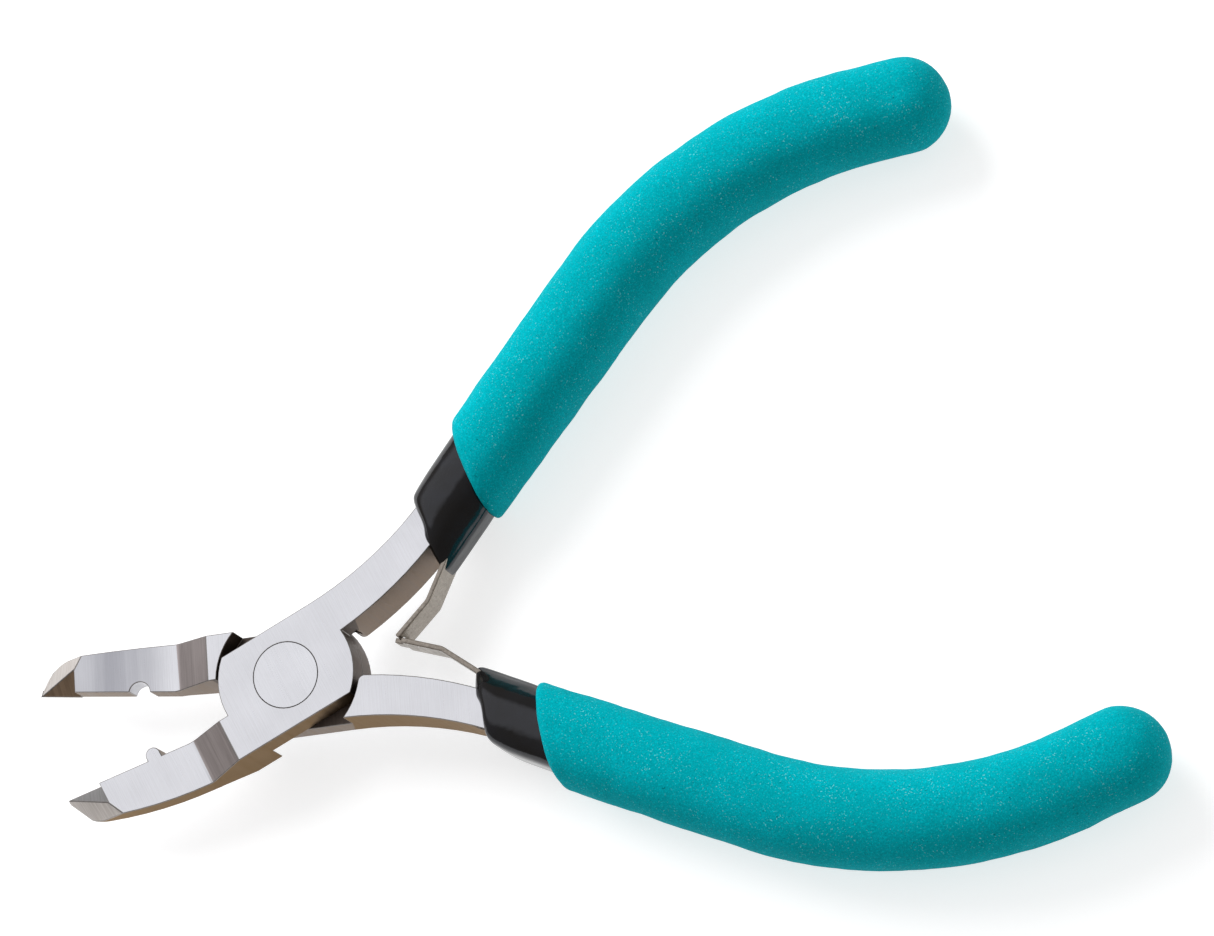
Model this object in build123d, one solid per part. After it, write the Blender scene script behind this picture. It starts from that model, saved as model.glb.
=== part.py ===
from build123d import *
import os
from math import cos, radians, sin, sqrt, tan

# Crimping pliers for jewellery making: two lap-jointed levers on a countersunk rivet,
# a pair of leaf springs that push the handles apart, dipped sleeves and foam grips.
#
# Millimetres, +Z up.  The origin is the centre of the joint's lower flat face, on the pivot
# axis.  +X runs from the jaws to the handles, halfway between the two handles, and +Y points
# to the upper handle.  The tool is modelled open, as its springs hold it.
#
# Each lever is drawn closed, in its own frame, with its handle on the +Y side and its jaw on
# the -Y side.  The peg lever is used as drawn.  The notch lever is turned over about X.

# --- pivot and lap joint -------------------------------------------------------------
OPEN_ANGLE = 24.0           # between the closed jaws and the open ones
JOINT_T = 7.0               # thickness over both lapped plates
MID = JOINT_T / 2           # heights in a lever's own frame are measured from here
LAP_GAP = 0.05              # running gap between the two lapped plates
JOINT_HALF_W = 6.05         # half width of the joint's parallel sides
PLATE_R = 8.4               # round ends of the thin plates
JAW_SHOULDER_R = 8.6        # shoulder that a plate turns against, jaw side
GRIP_SHOULDER_R = 9.0       # the same, handle side
SHOULDER_CORNER_R = 0.8      # corner between the handle side's shoulder and the shank
RIVET_HEAD_R = 3.9
RIVET_SHANK_R = 2.2
RIVET_CONE_H = 1.5
RIVET_RIM = 0.25            # straight rim of the rivet's head above its cone
RIVET_PLAY = 0.04           # radial play of the plate that turns on the rivet

# --- jaws ----------------------------------------------------------------------------
JAW_T = 2.8
JAW_ROOT_X = -9.6           # where the joint's faces start to slope down to the jaw
JAW_FLAT_X = -14.0          # where the slope has come down to the jaw's thickness
JAW_ROOT_FILLET = 2.4
NOSE_CANT = 8.1             # the closed jaws lean this far from the handle axis
NOSE_OFFSET = 2.0           # closed face line passes this far from the pivot axis
PEG_CUTTER_X = -26.3        # the nippers at the tip start here
NOTCH_CUTTER_X = -27.1      # the same on the notch jaw, which is a little longer
PEG_TIP_X = -31.2
NOTCH_TIP_X = -32.3
CUTTER_EDGE_Z = -1.15       # height of the cutting edge from the jaw's middle
CUTTER_W = 3.0              # width of the ground bevel behind the cutting edge
CRIMP_X = -18.95            # place of the crimping peg and notch
PEG_R = 0.92
PEG_H = 1.4
NOTCH_R = 1.3
PEG_FACE_RELIEF = 0.30      # crimping faces stand back from the closed line
NOTCH_FACE_RELIEF = 0.10
NOTCH_SINK = 0.12           # the notch's centre lies this far behind the closed line
JAW_FACE_Y = -0.57          # inner side of the jaw's root
JAW_OVERLAP = 0.5           # the jaw is drawn this far into the joint

# --- shank, tang and handle line -------------------------------------------------------
SHANK_OUT_X = 6.0           # outer edge starts to curve outward
SHANK_END_X = 24.2          # the forged shank ends here, inside the sleeve
SHANK_END_Y = (5.15, 9.85)
SLEEVE_X = 23.2             # the dip line, square to the tool's length
AXIS_START = (22.7, 6.9)
AXIS_BEND = (72.2, 29.6)
AXIS_END = (96.3, 21.6)
AXIS_BEND_R = 50.0
TANG_W = 4.3
TANG_T = 6.2
TANG_SHORT = 5.0            # the tang ends this far before the centre of the grip's end

# --- dipped sleeve and foam grip ---------------------------------------------------------
SLEEVE_T = 7.9              # height of the sleeve, over tang and both skins
SLEEVE_SPRING_T = 6.2       # height of the bulge over the spring's foot
SLEEVE_SKIN = 0.85
FOAM_W = 11.0
FOAM_T = 12.2
FOAM_IN = (29.9, 4.6)       # the foam's square-cut mouth, inner and outer side
FOAM_OUT = (31.2, 15.8)

# --- leaf springs ----------------------------------------------------------------------
LEAF_T = 0.6
LEAF_W = 4.6
LEAF_HINGE = (22.6, 2.1)    # where the blade leaves its foot and flexes
LEAF_BEND = (18.8, -0.9)
LEAF_TIP = (14.0, -2.57)
FOOT_BEND = (26.4, 5.45)
FOOT_LENGTH = 8.0
TONGUE_W = 1.8              # one blade's tongue lies in the other's slot
TONGUE_REACH = 0.9
TONGUE_SLOT = 2.3
SPRING_RIVET_R = 0.8
SPRING_RIVET_HEAD_R = 1.5
SPRING_RIVET_HEAD_T = 0.45
HINGE_GAP = 0.06            # between a blade's rounded root and its foot
LEAF_BEND_R = 1.2

HALF_OPEN = OPEN_ANGLE / 2


def slab(face, low, high):
    """A plan outline raised from one height to another, measured from mid-thickness."""
    return extrude(Pos(0, 0, low) * face, high - low)


def disc(radius, low, high):
    """A round slab about the pivot axis."""
    return slab(Circle(radius), low, high)


def beyond(p1, p2, p3, size=40):
    """A block standing on the plane through three points, on its counterclockwise side."""
    origin = Vector(*p1)
    along = Vector(*p2) - origin
    normal = along.cross(Vector(*p3) - origin)
    plane = Plane(origin=origin, x_dir=along, z_dir=normal)
    return plane * Box(size, size, size, align=(Align.CENTER, Align.CENTER, Align.MIN))


def place_peg_side(shape):
    """Put a piece drawn closed on the peg lever, opened and lifted onto the origin plane."""
    return Pos(0, 0, MID) * Rot(0, 0, HALF_OPEN) * shape


def place_notch_side(shape):
    """Put a piece drawn closed on the notch lever: turned over, opened and lifted."""
    return Pos(0, 0, MID) * Rot(0, 0, -HALF_OPEN) * Rot(180, 0, 0) * shape


def face_line(lean):
    """Height of the closed jaws' meeting line at a given x, in a lever's own frame."""
    slope = tan(radians(NOSE_CANT))
    offset = NOSE_OFFSET / cos(radians(NOSE_CANT))
    return lambda x: lean * (-slope * x - offset)


def handle_axis(shorten=0.0):
    """Centre line of the handle: straight, one long bend, straight."""
    run = Vector(*AXIS_END) - Vector(*AXIS_BEND)
    end = Vector(*AXIS_END) - run.normalized() * shorten
    return FilletPolyline(AXIS_START, AXIS_BEND, (end.X, end.Y), radius=AXIS_BEND_R)


def band(width, shorten=0.0):
    """Strip of constant width along the handle's centre line."""
    return trace(handle_axis(shorten), width)


def shank_plan():
    """Joint and shank seen from above, from the jaw's root to the dip line."""
    corner_x = sqrt(PLATE_R**2 - JOINT_HALF_W**2)
    jaw_x = -sqrt(PLATE_R**2 - JAW_FACE_Y**2)
    shank_y = 1.15
    shank_x = sqrt(PLATE_R**2 - shank_y**2)
    near, far = SHANK_END_Y
    outline = [
        Line((JAW_ROOT_X, JAW_FACE_Y), (JAW_ROOT_X, -JOINT_HALF_W)),
        Line((JAW_ROOT_X, -JOINT_HALF_W), (corner_x, -JOINT_HALF_W)),
        RadiusArc((corner_x, -JOINT_HALF_W), (shank_x, shank_y), -PLATE_R),
        ThreePointArc((shank_x, shank_y), (16.0, 2.35), (SHANK_END_X, near)),
        Line((SHANK_END_X, near), (SHANK_END_X, far)),
        ThreePointArc((SHANK_END_X, far), (16.0, 7.15), (SHANK_OUT_X, JOINT_HALF_W)),
        Line((SHANK_OUT_X, JOINT_HALF_W), (-corner_x, JOINT_HALF_W)),
        RadiusArc((-corner_x, JOINT_HALF_W), (jaw_x, JAW_FACE_Y), -PLATE_R),
        Line((jaw_x, JAW_FACE_Y), (JAW_ROOT_X, JAW_FACE_Y)),
    ]
    return make_face(outline)


def jaw_side_profile():
    """Side view of a jaw: the joint's thickness sloping down to the jaw's."""
    far = -40
    near = JAW_ROOT_X + 3
    half = JAW_T / 2
    points = [
        (near, MID), (JAW_ROOT_X, MID), (JAW_FLAT_X, half), (far, half),
        (far, -half), (JAW_FLAT_X, -half), (JAW_ROOT_X, -MID), (near, -MID),
    ]
    face = make_face(Polyline(*points, close=True))
    inner = [v for v in face.vertices() if abs(v.X - JAW_FLAT_X) < 0.01]
    return Plane.XZ * fillet(inner, JAW_ROOT_FILLET)


def jaw(plan, lean, cutter_x, ridge, nose):
    """One jaw: plan and side view crossed, then the nipper's bevel and the ground nose."""
    edge = face_line(lean)
    blank = slab(plan, -MID, MID)
    blank &= extrude(jaw_side_profile(), 20, both=True)
    low = CUTTER_EDGE_Z
    high = JAW_T / 2
    tip_x = cutter_x - 10
    bevel = beyond(
        (cutter_x, edge(cutter_x), low), (tip_x, edge(tip_x), low),
        (cutter_x, edge(cutter_x) - CUTTER_W, high),
    )
    bevel &= Pos(cutter_x, 0, 0) * Box(20, 40, 20, align=(Align.MAX, Align.CENTER, Align.CENTER))
    grind = beyond(ridge, (nose[0], nose[1], low), (nose[2], nose[3], -high))
    return blank - bevel - grind


def peg_jaw():
    """Jaw with a round-nosed peg that presses the crimp into the notch."""
    edge = face_line(1)
    step = edge(PEG_CUTTER_X)
    root_x = JAW_ROOT_X + JAW_OVERLAP
    relieved = step - PEG_FACE_RELIEF
    outline = [
        Polyline((root_x, JAW_FACE_Y), (-12.0, -0.42), (-14.5, -0.25), (PEG_CUTTER_X, relieved)),
        Line((PEG_CUTTER_X, relieved), (PEG_CUTTER_X, step)),
        Line((PEG_CUTTER_X, step), (PEG_TIP_X, edge(PEG_TIP_X))),
        Line((PEG_TIP_X, edge(PEG_TIP_X)), (-31.25, 1.4)),
        ThreePointArc((-31.25, 1.4), (-30.15, -0.8), (-27.8, -2.5)),
        ThreePointArc((-27.8, -2.5), (-20.8, -4.8), (-14.0, -JOINT_HALF_W)),
        Line((-14.0, -JOINT_HALF_W), (root_x, -JOINT_HALF_W)),
        Line((root_x, -JOINT_HALF_W), (root_x, JAW_FACE_Y)),
    ]
    body = jaw(
        make_face(outline), 1, PEG_CUTTER_X,
        ridge=(-26.3, -1.4, JAW_T / 2), nose=(-31.15, 2.25, -29.95, -0.85),
    )
    foot = edge(CRIMP_X) - PEG_FACE_RELIEF
    centre = foot + PEG_H - PEG_R
    peg = Pos(CRIMP_X, centre) * Circle(PEG_R)
    peg += Pos(CRIMP_X, centre) * Rectangle(2 * PEG_R, PEG_H, align=(Align.CENTER, Align.MAX))
    return body + slab(peg, -JAW_T / 2, JAW_T / 2)


def notch_jaw():
    """Jaw with the round notch that shapes the crimp."""
    edge = face_line(-1)
    step = edge(NOTCH_CUTTER_X)
    root_x = JAW_ROOT_X + JAW_OVERLAP
    relieved = step - NOTCH_FACE_RELIEF
    outline = [
        Polyline((root_x, JAW_FACE_Y), (-14.5, -0.30), (NOTCH_CUTTER_X, relieved)),
        Line((NOTCH_CUTTER_X, relieved), (NOTCH_CUTTER_X, step)),
        Line((NOTCH_CUTTER_X, step), (NOTCH_TIP_X, edge(NOTCH_TIP_X))),
        Line((NOTCH_TIP_X, edge(NOTCH_TIP_X)), (-32.2, -3.05)),
        ThreePointArc((-32.2, -3.05), (-30.8, -5.25), (-28.0, -6.3)),
        ThreePointArc((-28.0, -6.3), (-21.5, -6.3), (-14.0, -JOINT_HALF_W)),
        Line((-14.0, -JOINT_HALF_W), (root_x, -JOINT_HALF_W)),
        Line((root_x, -JOINT_HALF_W), (root_x, JAW_FACE_Y)),
    ]
    body = jaw(
        make_face(outline), -1, NOTCH_CUTTER_X,
        ridge=(-27.1, -4.6, JAW_T / 2), nose=(-32.25, -2.6, -31.3, -4.75),
    )
    centre = edge(CRIMP_X) - NOTCH_SINK
    body -= slab(Pos(CRIMP_X, centre) * Circle(NOTCH_R), -JAW_T, JAW_T)
    return mirror(body, about=Plane.XY)


def lever_blank():
    """Joint plate, full-thickness shoulders, shank and tang of one lever, without its jaw."""
    plan = shank_plan()
    upper = slab(plan, LAP_GAP / 2, MID)
    lower = slab(plan, -MID, LAP_GAP / 2)
    handle_side = Box(20, 40, 20, align=(Align.MIN, Align.CENTER, Align.CENTER))
    seat = disc(JAW_SHOULDER_R, -MID, LAP_GAP / 2)
    seat += disc(GRIP_SHOULDER_R, -MID, LAP_GAP / 2) & handle_side
    lower -= seat
    corner = lower.edges().filter_by(Axis.Z).sort_by_distance((GRIP_SHOULDER_R, 1.2, -MID / 2))[0]
    lower = fillet(corner, SHOULDER_CORNER_R)
    tang = slab(band(TANG_W, TANG_SHORT), -TANG_T / 2, TANG_T / 2)
    return upper + lower + tang


def rivet_solid(grow=0.0):
    """Countersunk rivet, a cone at each end; grow widens it for a bore that turns on it."""
    half = MID + grow
    head = RIVET_HEAD_R + grow
    shank = RIVET_SHANK_R + grow
    cone_end = MID - RIVET_CONE_H
    profile = Polyline(
        (0, -half), (head, -half), (head, -MID + RIVET_RIM), (shank, -cone_end),
        (shank, cone_end), (head, MID - RIVET_RIM), (head, half), (0, half), close=True,
    )
    return revolve(Plane.XZ * make_face(profile), Axis.Z)


def strip(points, width, thickness):
    """Flat spring strip standing on edge, following points in plan with round bends."""
    wire = FilletPolyline(*points, radius=LEAF_BEND_R) if len(points) > 2 else Line(*points)
    return slab(trace(wire, thickness), -width / 2, width / 2)


def foot_points():
    """The hidden end of a leaf: from its mouth in the sleeve to flat along the tang."""
    heading = Vector(LEAF_HINGE[0] - FOOT_BEND[0], LEAF_HINGE[1] - FOOT_BEND[1]).normalized()
    start = Vector(*LEAF_HINGE) - heading * (LEAF_T / 2 + HINGE_GAP)
    run = (Vector(*AXIS_BEND) - Vector(*AXIS_START)).normalized() * FOOT_LENGTH
    end = Vector(*FOOT_BEND) + run
    return [(start.X, start.Y), FOOT_BEND, (end.X, end.Y)]


def spring_foot():
    """Hidden end of a leaf spring, riveted to the tang."""
    return strip(foot_points(), LEAF_W, LEAF_T)


def leaf_blade(tongue):
    """Visible, flexing part of a leaf spring, round at both ends; its tip has a tongue or a slot."""
    blade = strip([LEAF_HINGE, LEAF_BEND, LEAF_TIP], LEAF_W, LEAF_T)
    for end in (LEAF_HINGE, LEAF_TIP):
        blade += slab(Pos(*end) * Circle(LEAF_T / 2), -LEAF_W / 2, LEAF_W / 2)
    if tongue:
        heading = Vector(LEAF_TIP[0] - LEAF_BEND[0], LEAF_TIP[1] - LEAF_BEND[1]).normalized()
        hook = [
            LEAF_TIP,
            (LEAF_TIP[0] + TONGUE_REACH * heading.X, LEAF_TIP[1] + TONGUE_REACH * heading.Y),
        ]
        blade += strip(hook, TONGUE_W, LEAF_T)
        blade += slab(Pos(*hook[1]) * Circle(LEAF_T / 2), -TONGUE_W / 2, TONGUE_W / 2)
    else:
        gap = Pos(LEAF_TIP[0] - 1.0, LEAF_TIP[1]) * Rectangle(2.4, 2.4)
        blade -= slab(gap, -TONGUE_SLOT / 2, TONGUE_SLOT / 2)
    return blade


def spring_rivet():
    """Small flat-headed rivet through foot and tang, its axis across the handle."""
    run = (Vector(*AXIS_BEND) - Vector(*AXIS_START)).normalized()
    seat = Vector(*FOOT_BEND) + run * (FOOT_LENGTH - 3.0)
    across = Vector(-run.Y, run.X)
    plane = Plane(origin=seat - across * (LEAF_T / 2), z_dir=across)
    on_base = (Align.CENTER, Align.CENTER, Align.MIN)
    under_base = (Align.CENTER, Align.CENTER, Align.MAX)
    shank = plane * Cylinder(SPRING_RIVET_R, LEAF_T + TANG_W, align=on_base)
    head = plane * Cylinder(SPRING_RIVET_HEAD_R, SPRING_RIVET_HEAD_T, align=under_base)
    return shank + head


def sleeve_outer():
    """Outside of the dipped sleeve: over shank and tang, with a lower bulge over the spring's foot."""
    over_steel = make_face(Polyline(
        (SLEEVE_X, 3.95), (29.4, 6.75), (37.5, 10.7), (36.4, 17.0), (30.8, 14.1),
        (26.0, 11.5), (SLEEVE_X, 10.0), close=True,
    ))
    over_spring = make_face(Polyline(
        (SLEEVE_X, 2.4), (29.4, 5.35), (34.0, 7.9), (37.5, 10.2), (36.4, 13.5), (29.4, 10.0),
        (SLEEVE_X, 6.0), close=True,
    ))
    inner = band(TANG_W + 2 * SLEEVE_SKIN, TANG_SHORT - SLEEVE_SKIN)
    inner -= Pos(SLEEVE_X, 0) * Rectangle(20, 80)
    body = slab(over_steel + inner, -SLEEVE_T / 2, SLEEVE_T / 2)
    return body + slab(over_spring, -SLEEVE_SPRING_T / 2, SLEEVE_SPRING_T / 2)


def foam_outer():
    """Outside of the foam grip: an oval tube with a round end and a square-cut mouth."""
    tube = band(FOAM_W) + Pos(*AXIS_END) * Circle(FOAM_W / 2)
    body = slab(tube, -FOAM_T / 2, FOAM_T / 2)
    rims = [e for e in body.edges() if abs(abs(e.center().Z) - FOAM_T / 2) < 0.01]
    body = fillet([e for e in rims if e.center().X > AXIS_START[0] + 3], FOAM_W / 2 - 0.4)
    return body - beyond((*FOAM_IN, 0), (*FOAM_IN, FOAM_T), (*FOAM_OUT, 0), size=80)


def build():
    """All pieces by name, in place."""
    small_rivet = spring_rivet()
    foot = spring_foot() - small_rivet
    blank = lever_blank()
    peg_lever = blank + peg_jaw() - rivet_solid(RIVET_PLAY) - small_rivet
    notch_lever = blank + notch_jaw() - rivet_solid() - small_rivet
    sleeve = sleeve_outer() - lever_blank() - foot - small_rivet
    foam = foam_outer() - sleeve_outer()
    return {
        "notch_jaw_lever": place_notch_side(notch_lever),
        "peg_jaw_lever": place_peg_side(peg_lever),
        "pivot_rivet": Pos(0, 0, MID) * rivet_solid(),
        "upper_spring_foot": place_peg_side(foot),
        "lower_spring_foot": place_notch_side(foot),
        "upper_leaf_spring": place_peg_side(leaf_blade(tongue=False)),
        "lower_leaf_spring": place_notch_side(leaf_blade(tongue=True)),
        "upper_spring_rivet": place_peg_side(small_rivet),
        "lower_spring_rivet": place_notch_side(small_rivet),
        "upper_inner_sleeve": place_peg_side(sleeve),
        "lower_inner_sleeve": place_notch_side(sleeve),
        "upper_foam_grip": place_peg_side(foam),
        "lower_foam_grip": place_notch_side(foam),
    }


os.makedirs("parts", exist_ok=True)
for name, shape in build().items():
    export_step(Compound(children=shape.solids()), f"parts/{name}.step")
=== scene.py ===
from math import cos, pi, radians, sin

import bmesh
import bpy
from mathutils import Matrix, Vector


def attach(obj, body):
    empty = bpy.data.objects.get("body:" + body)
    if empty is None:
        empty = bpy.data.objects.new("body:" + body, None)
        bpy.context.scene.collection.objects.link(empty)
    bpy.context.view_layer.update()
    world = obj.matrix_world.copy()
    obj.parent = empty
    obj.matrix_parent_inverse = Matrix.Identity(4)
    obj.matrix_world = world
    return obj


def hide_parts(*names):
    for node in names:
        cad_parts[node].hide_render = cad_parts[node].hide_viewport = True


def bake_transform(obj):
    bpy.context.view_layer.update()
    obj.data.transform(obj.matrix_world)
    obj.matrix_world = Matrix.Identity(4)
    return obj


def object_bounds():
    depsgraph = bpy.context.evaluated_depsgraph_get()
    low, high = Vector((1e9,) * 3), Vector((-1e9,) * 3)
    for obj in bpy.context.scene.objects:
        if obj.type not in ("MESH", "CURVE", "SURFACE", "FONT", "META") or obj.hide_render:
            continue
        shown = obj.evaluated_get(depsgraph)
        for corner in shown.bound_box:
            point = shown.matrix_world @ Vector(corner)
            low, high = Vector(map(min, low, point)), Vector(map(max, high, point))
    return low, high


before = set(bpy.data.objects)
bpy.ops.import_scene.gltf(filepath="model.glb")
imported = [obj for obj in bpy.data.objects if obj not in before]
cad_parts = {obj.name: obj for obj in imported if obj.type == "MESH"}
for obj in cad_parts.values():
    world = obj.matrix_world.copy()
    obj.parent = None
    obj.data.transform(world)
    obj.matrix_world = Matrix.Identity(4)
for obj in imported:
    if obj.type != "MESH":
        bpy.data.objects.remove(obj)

cad_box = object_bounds()

# %% [markdown]
# ## The tool and its two halves
# These are small crimping pliers for beads, lying on their side and sprung open.  The lower
# half carries the notched jaw, the upper half the peg jaw.  Each half is easiest to think of
# in its own frame, drawn closed: x runs along the tool, handle on the +y side.  The upper half
# is that drawing turned 12 degrees, and the lower half is the same drawing turned over first.
# So every piece is made once in that frame, in millimetres, and placed by one of two matrices.

# %% Placing a piece on either half
MM = 0.001
HALF_OPEN = radians(12.0)
JOINT_MIDDLE = 3.5 * MM

lift = Matrix.Translation((0, 0, JOINT_MIDDLE))
UPPER = lift @ Matrix.Rotation(HALF_OPEN, 4, "Z") @ Matrix.Scale(MM, 4)
LOWER = lift @ Matrix.Rotation(-HALF_OPEN, 4, "Z") @ Matrix.Rotation(pi, 4, "X") @ Matrix.Scale(MM, 4)
SIDES = (("upper", UPPER, "peg_half"), ("lower", LOWER, "notch_half"))


def in_mm(box):
    """A box's two corners in millimetres, rounded for printing."""
    return [[round(v / MM, 1) for v in corner] for corner in box]


print("box of the packed tool, mm:", in_mm(cad_box))

# %% Helpers for objects and meshes
CAD_WELD = 2e-6              # metres: corners of CAD triangles nearer than this are one


def new_object(name, mesh):
    obj = bpy.data.objects.new(name, mesh)
    bpy.context.scene.collection.objects.link(obj)
    return obj


def evaluated_mesh(obj, name):
    """The object with its modifiers, as a plain mesh of its own."""
    bpy.context.view_layer.update()
    graph = bpy.context.evaluated_depsgraph_get()
    mesh = bpy.data.meshes.new_from_object(obj.evaluated_get(graph), depsgraph=graph)
    mesh.name = name
    return mesh


def bake_modifiers(obj):
    """Replace an object's mesh by what its modifiers make of it."""
    mesh = evaluated_mesh(obj, obj.name)
    obj.modifiers.clear()
    obj.data = mesh


def reshape(mesh, change):
    """Open a mesh for editing, let a function change it, and write it back."""
    work = bmesh.new()
    work.from_mesh(mesh)
    change(work)
    work.to_mesh(mesh)
    work.free()


def weld(work, distance):
    """Make one vertex of those that lie together."""
    bmesh.ops.remove_doubles(work, verts=work.verts, dist=distance)


def face_outwards(work):
    """Turn every face so that it looks out of its closed shell."""
    bmesh.ops.recalc_face_normals(work, faces=work.faces)


def cad_copy(node, name):
    """A welded copy of a CAD node, free to be rounded and painted face by face."""
    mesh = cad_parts[node].data.copy()
    reshape(mesh, lambda work: weld(work, CAD_WELD))
    mesh.materials.clear()
    mesh.name = name
    return new_object(name, mesh)


print("CAD nodes at hand:", len(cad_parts))

# %% [markdown]
# ## Steel
# The flat faces of the levers are ground across their length, which leaves fine parallel lines
# and an even, almost white sheen.  The side walls are duller, and painted brown as a painted
# reflection of a brown room; the outer ones that look towards -y are painted warmer still, and
# more so when they are seen at a low angle.  The recess that the other half turns in is painted
# dark, as painted shade.  The ramps, the nippers' bevels, the ground noses and the broken edges
# are painted in darker tones of their own, as painted reflection.  All are the same metal, so one
# builder makes every finish: noise drawn out along the grinding direction drives the colour, the
# roughness and a very shallow bump.  The lines then keep their true size on every face, which
# a picture wrapped round the part would not.

# %% Shorthand for shader nodes


def set_stops(ramp, stops):
    """Give a colour ramp its stops, each of them a place and a colour."""
    while len(ramp.elements) < len(stops):
        ramp.elements.new(0.5)
    for element, (place, colour) in zip(ramp.elements, stops):
        element.position = place
        element.color = (*colour, 1)


class Nodes:
    """Shorthand for adding and joining the nodes of one material."""

    def __init__(self, name):
        self.material = bpy.data.materials.new(name)
        self.material.use_nodes = True
        self.tree = self.material.node_tree
        self.tree.nodes.clear()
        self.out = self.add("ShaderNodeOutputMaterial")

    def add(self, kind, **values):
        node = self.tree.nodes.new(kind)
        for key, value in values.items():
            setattr(node, key, value)
        return node

    def join(self, source, target):
        self.tree.links.new(source, target)

    def coordinates(self, turn=0.0, scale=(1, 1, 1)):
        place = self.add("ShaderNodeTexCoord")
        mapping = self.add("ShaderNodeMapping", vector_type="TEXTURE")
        mapping.inputs["Rotation"].default_value = (0, 0, turn)
        mapping.inputs["Scale"].default_value = tuple(1 / s for s in scale)
        self.join(place.outputs["Object"], mapping.inputs["Vector"])
        return mapping.outputs["Vector"]

    def noise(self, vector, scale, detail, roughness):
        node = self.add("ShaderNodeTexNoise")
        node.inputs["Scale"].default_value = scale
        node.inputs["Detail"].default_value = detail
        node.inputs["Roughness"].default_value = roughness
        self.join(vector, node.inputs["Vector"])
        return node.outputs["Fac"]

    def ramp(self, factor, stops):
        node = self.add("ShaderNodeValToRGB")
        set_stops(node.color_ramp, stops)
        self.join(factor, node.inputs["Fac"])
        return node.outputs["Color"]

    def spread(self, factor, low, high, start=0.3, stop=0.7):
        node = self.add("ShaderNodeMapRange")
        for key, value in (("From Min", start), ("From Max", stop), ("To Min", low), ("To Max", high)):
            node.inputs[key].default_value = value
        self.join(factor, node.inputs["Value"])
        return node.outputs["Result"]

    def mix(self, factor, a, b, blend="MIX"):
        node = self.add("ShaderNodeMix", data_type="RGBA", blend_type=blend)
        colour_in = [s for s in node.inputs if s.type == "RGBA"]
        for socket, value in ((node.inputs["Factor"], factor), (colour_in[0], a), (colour_in[1], b)):
            if isinstance(value, bpy.types.NodeSocket):
                self.join(value, socket)
            elif isinstance(value, tuple):
                socket.default_value = (*value, 1)
            else:
                socket.default_value = value
        return [s for s in node.outputs if s.type == "RGBA"][0]

    def bump(self, height, distance, strength=1.0):
        node = self.add("ShaderNodeBump")
        node.inputs["Distance"].default_value = distance
        node.inputs["Strength"].default_value = strength
        self.join(height, node.inputs["Height"])
        return node.outputs["Normal"]

    def math(self, operation, *values):
        node = self.add("ShaderNodeMath", operation=operation)
        for socket, value in zip(node.inputs, values):
            if isinstance(value, bpy.types.NodeSocket):
                self.join(value, socket)
            else:
                socket.default_value = value
        return node.outputs[0]

    def principled(self, plain):
        """The surface's shader, with the values that are the same all over on its sockets."""
        shader = self.add("ShaderNodeBsdfPrincipled")
        for label, value in plain.items():
            shader.inputs[label].default_value = value
        self.join(shader.outputs["BSDF"], self.out.inputs["Surface"])
        return shader


print("shader shorthand:", [name for name in vars(Nodes) if not name.startswith("_")])

# %% A builder for ground and trimmed steel
LINE_LENGTH = 40             # how many times longer a grinding line is than it is wide
LINE_DEPTH = 0.000004        # metres
CLOUD_SCALE = 180
CLOUD_DARK = (0.93, 0.93, 0.93)
JAW_BANDS = (420, 20, 20)    # noise scale of the bands across a jaw, per metre
JAW_RAMP_END = (-0.0200, -0.0145)    # metres along the lever: full shade, and none at the ramp
JAW_TIP_FADE = (-0.0285, -0.0235)    # weaker shade towards the tip, and full shade behind it
JAW_TIP_SHARE = 0.35
JAW_EVEN_SHARE = 0.6         # of the shade that is even, the rest coming in bands
JAW_BLUE = 1.04


def shade_jaw(n, turn, colour, jaw):
    """Darken a jaw's own face in soft bands, from its ramp towards its tip."""
    place = n.add("ShaderNodeSeparateXYZ")
    n.join(n.coordinates(turn), place.inputs[0])
    along = place.outputs["X"]
    bands = n.spread(n.noise(n.coordinates(turn, JAW_BANDS), 1.0, 2, 0.5), 0.0, 0.5)
    reach = n.spread(along, 1.0, 0.0, *JAW_RAMP_END)
    tip = n.spread(along, JAW_TIP_SHARE, 1.0, *JAW_TIP_FADE)
    strength = n.math("MULTIPLY", reach, tip)
    even = n.math("MULTIPLY", strength, JAW_EVEN_SHARE)
    amount = n.math("MULTIPLY_ADD", strength, bands, even)
    dull = n.mix(1.0, colour, (jaw, jaw, jaw * JAW_BLUE), "MULTIPLY")
    return n.mix(amount, colour, dull)


def ground_steel(name, turn, light, dark, rough=(0.26, 0.40), line=0.00014, jaw=1.0, edge=None):
    """Steel with grinding lines across a lever that is turned by an angle about Z.
    line is how wide a grinding line is, in metres.  jaw is how bright the jaw's own face is,
    beyond its ramp, against the rest, and edge is the tint the finish takes when it is seen
    at a low angle."""
    n = Nodes(name)
    across, along = 1 / line, 1 / (LINE_LENGTH * line)
    lines = n.noise(n.coordinates(turn, (across, along, along)), 1.0, 5, 0.7)
    cloud = n.noise(n.coordinates(turn), CLOUD_SCALE, 3, 0.5)
    colour = n.ramp(lines, [(0.22, dark), (0.62, light), (0.8, light)])
    shade = n.ramp(cloud, [(0.3, CLOUD_DARK), (0.7, (1, 1, 1))])
    colour = n.mix(1.0, colour, shade, "MULTIPLY")
    if jaw < 1:
        colour = shade_jaw(n, turn, colour, jaw)
    plain = {"Metallic": 1.0}
    # On the outer walls the edge tint is a painted warm reflection, seen at low angles.
    if edge:
        plain["Specular Tint"] = (*edge, 1)
    steel = n.principled(plain)
    n.join(colour, steel.inputs["Base Color"])
    n.join(n.spread(lines, *rough), steel.inputs["Roughness"])
    n.join(n.bump(lines, LINE_DEPTH), steel.inputs["Normal"])
    return n.material


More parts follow.
